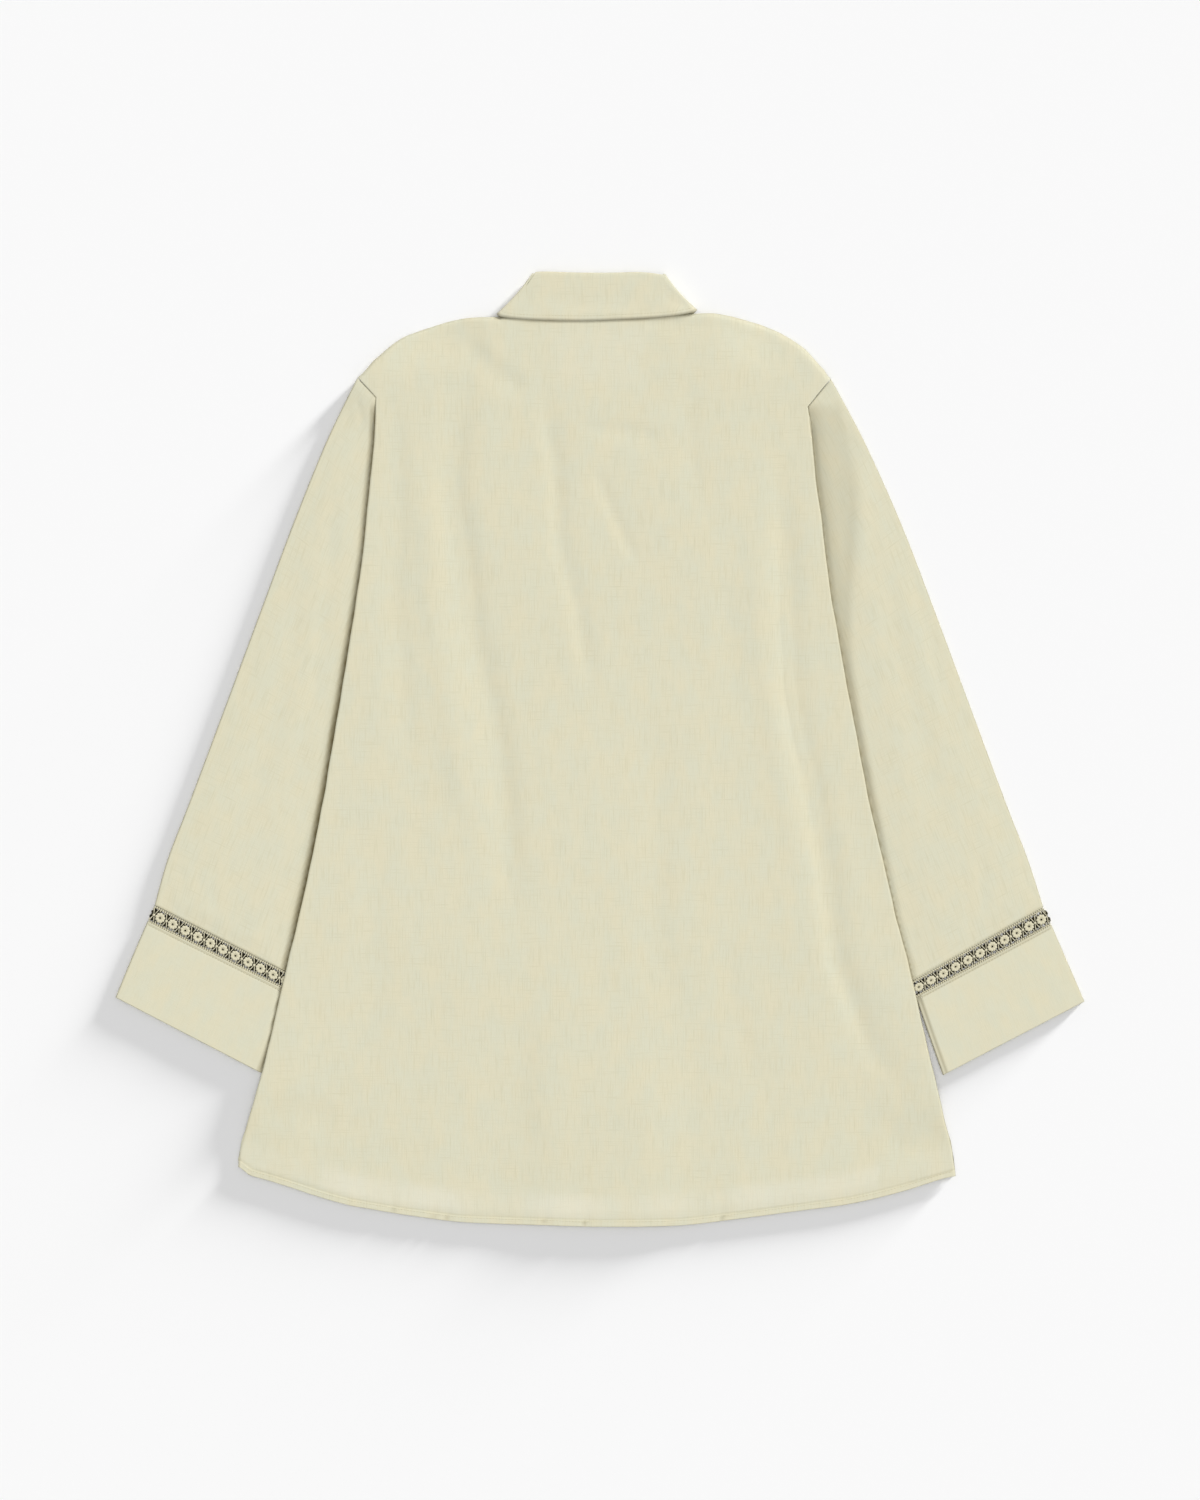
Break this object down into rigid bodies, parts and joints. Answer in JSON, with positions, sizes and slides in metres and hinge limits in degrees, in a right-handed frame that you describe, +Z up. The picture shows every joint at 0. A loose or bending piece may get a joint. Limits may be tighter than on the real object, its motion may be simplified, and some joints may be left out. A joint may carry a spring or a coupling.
{
  "type": "long-sleeved button-down tunic shirt, laid flat",
  "caption": "Long-sleeved A-line button-down tunic laid flat on its front, with a stand collar and fall, lace insertions above deep cuffs and a curved hem.",
  "frame": {"origin": "middle of the garment's outline, on the surface it lies on", "axes": "+X along the arms' spread to the wearer's right sleeve, +Y towards the collar, +Z up out of the surface through the back"},
  "size_m": [0.852, 0.838, 0.0083],
  "materials": {
    "cloth": "matt plain-weave cotton with fine upright slubs",
    "cuff_cloth": "matt plain-weave cotton, doubled and pressed",
    "lace": "cotton flower lace, open work",
    "button": "satin four-hole resin"
  },
  "bodies": {
    "root": {"back": "cloth", "front_left": "cloth", "front_right": "cloth", "sleeve_left": "cloth", "sleeve_right": "cloth", "cuff_left": "cuff_cloth", "cuff_right": "cuff_cloth", "lace_left_upper": "lace", "lace_left_lower": "lace", "lace_right_upper": "lace", "lace_right_lower": "lace", "collar_fall": "cloth", "collar_stand": "cloth", "button_collar": "button", "button_1": "button", "button_2": "button", "button_3": "button", "button_4": "button", "button_5": "button", "button_6": "button", "button_7": "button"}
  },
  "joints": []
}
